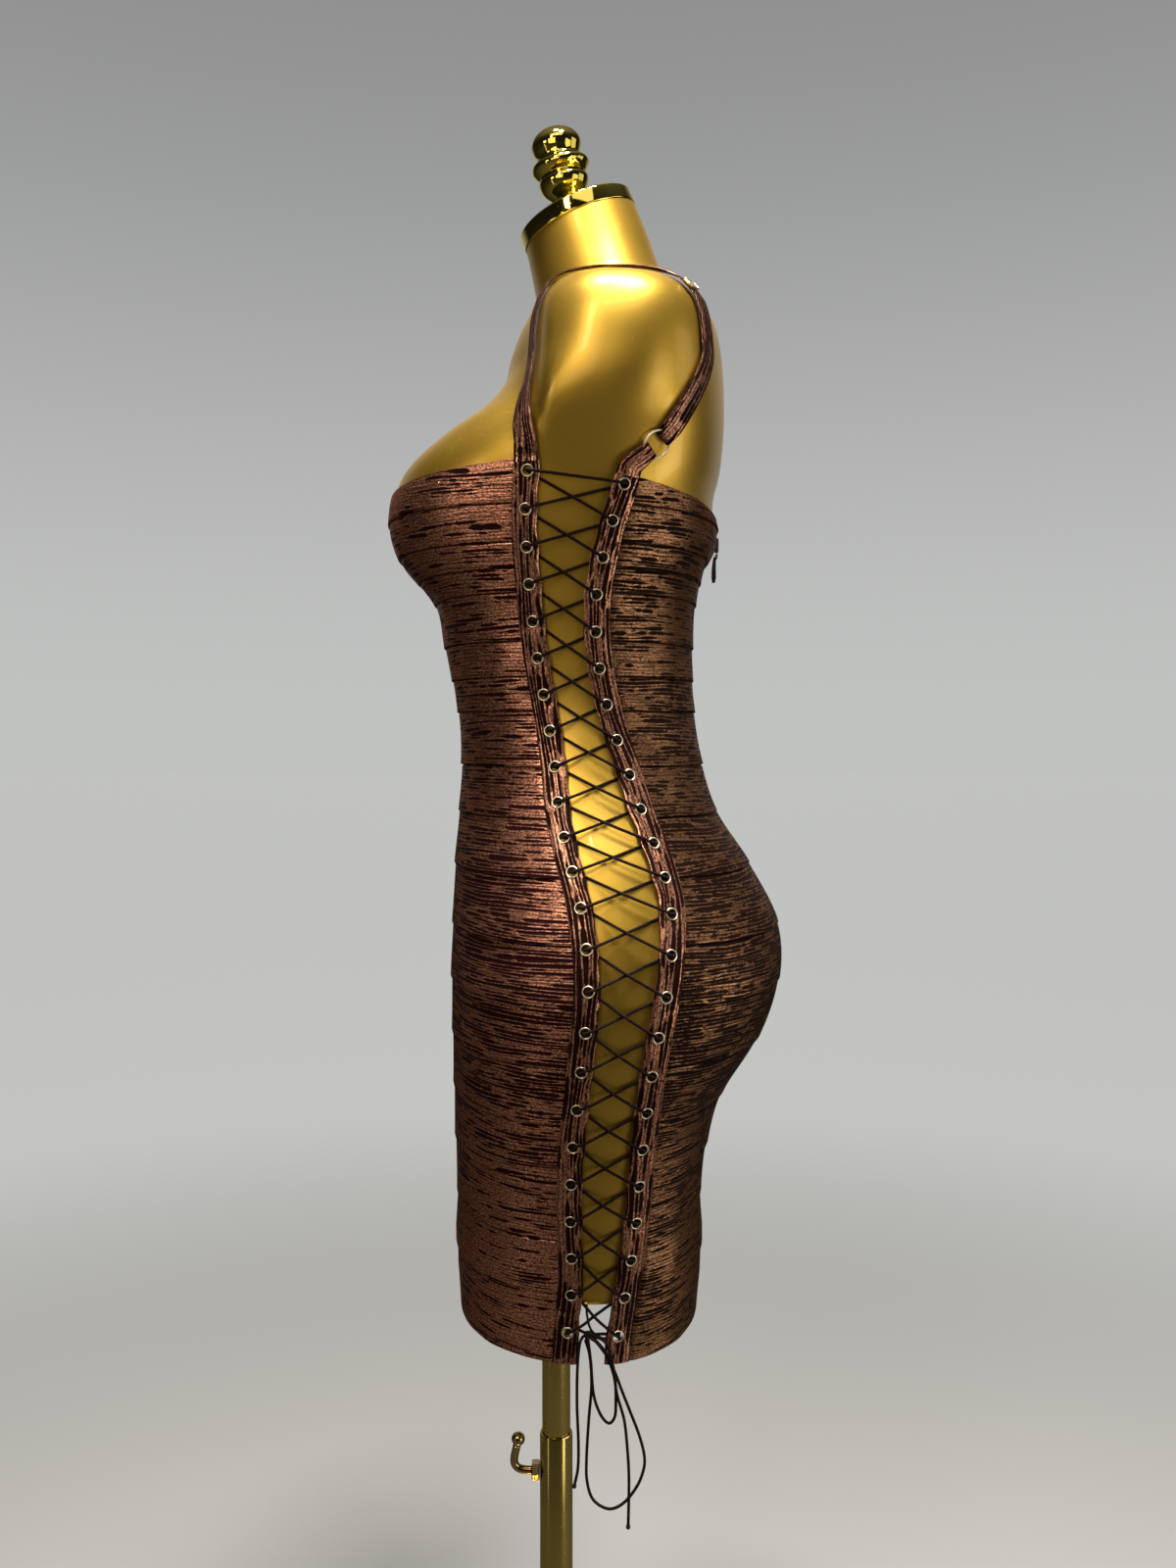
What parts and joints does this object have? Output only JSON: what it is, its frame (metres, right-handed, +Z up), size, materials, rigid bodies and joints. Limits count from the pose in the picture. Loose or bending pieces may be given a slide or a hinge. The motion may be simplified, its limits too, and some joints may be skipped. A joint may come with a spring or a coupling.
{
  "type": "side-laced bodycon dress on a limbless dress form with a pole stand",
  "caption": "Short strapless-cut banded bodycon dress with laced side gaps and shoulder straps, worn by a limbless dress form on an adjustable pole stand.",
  "frame": {"origin": "centre of the base plate's underside, on the floor, on the pole's axis", "axes": "+Z up along the pole, the form faces -Y, and its left side is +X"},
  "size_m": [0.3564, 0.3406, 1.5735],
  "materials": {
    "form": "satin gold paint",
    "polished_gold": "mirror polished",
    "pole": "polished brass plate on steel tube",
    "base": "satin gold",
    "foil_knit": "copper foil on a ribbed bandage knit",
    "foil_strip": "copper foil on a folded strip",
    "lace": "matt round cord",
    "small_gold": "polished pale gold",
    "zip_tape": "dark tape",
    "zip_metal": "dark nickel"
  },
  "bodies": {
    "stand": {"base_plate": "base", "base_collar": "pole", "pole_sleeve": "pole", "lock_nut": "pole"},
    "figure": {"form_torso": "form", "neck_cap": "polished_gold", "finial": "polished_gold", "form_flange": "pole", "pole_tube": "pole", "front_panel": "foil_knit", "zip_strip": "zip_tape", "zip_slider": "zip_metal", "back_panel_left": "foil_knit", "back_panel_right": "foil_knit", "front_placket_left": "foil_strip", "front_placket_right": "foil_strip", "back_placket_left": "foil_strip", "back_placket_right": "foil_strip", "lace_left": "lace", "lace_right": "lace", "bow_knot_left": "lace", "bow_knot_right": "lace", "bow_tail_front_left": "lace", "bow_tail_front_right": "lace", "bow_tail_front_tip_left": "lace", "bow_tail_front_tip_right": "lace", "bow_tail_back_left": "lace", "bow_tail_back_right": "lace", "bow_tail_back_tip_left": "lace", "bow_tail_back_tip_right": "lace", "bow_loop_small_left": "lace", "bow_loop_small_right": "lace", "bow_loop_large_left": "lace", "bow_loop_large_right": "lace", "strap_left": "foil_strip", "strap_right": "foil_strip", "strap_ring_left": "small_gold", "strap_ring_right": "small_gold", "strap_slider_left": "small_gold", "strap_slider_right": "small_gold", "ring_tab_left": "foil_strip", "ring_tab_right": "foil_strip"},
    "lock": {"lock_rod": "pole", "lock_ball": "pole"},
    "pull": {"zip_pull": "zip_metal"}
  },
  "joints": [
    {"name": "height_slide", "type": "slide", "parent": "stand", "child": "figure", "axis": [0, 0, 1], "range_m": [-0.1, 0.15]},
    {"name": "lock_turn", "type": "hinge", "parent": "stand", "child": "lock", "pos_m": [0, -0.0199, 0.512], "axis": [0, -1, 0], "range_deg": [0, 180]},
    {"name": "pull_swing", "type": "hinge", "parent": "figure", "child": "pull", "pos_m": [0, 0.1265, 1.2451], "axis": [1, 0, 0], "range_deg": [-15, 100]}
  ]
}
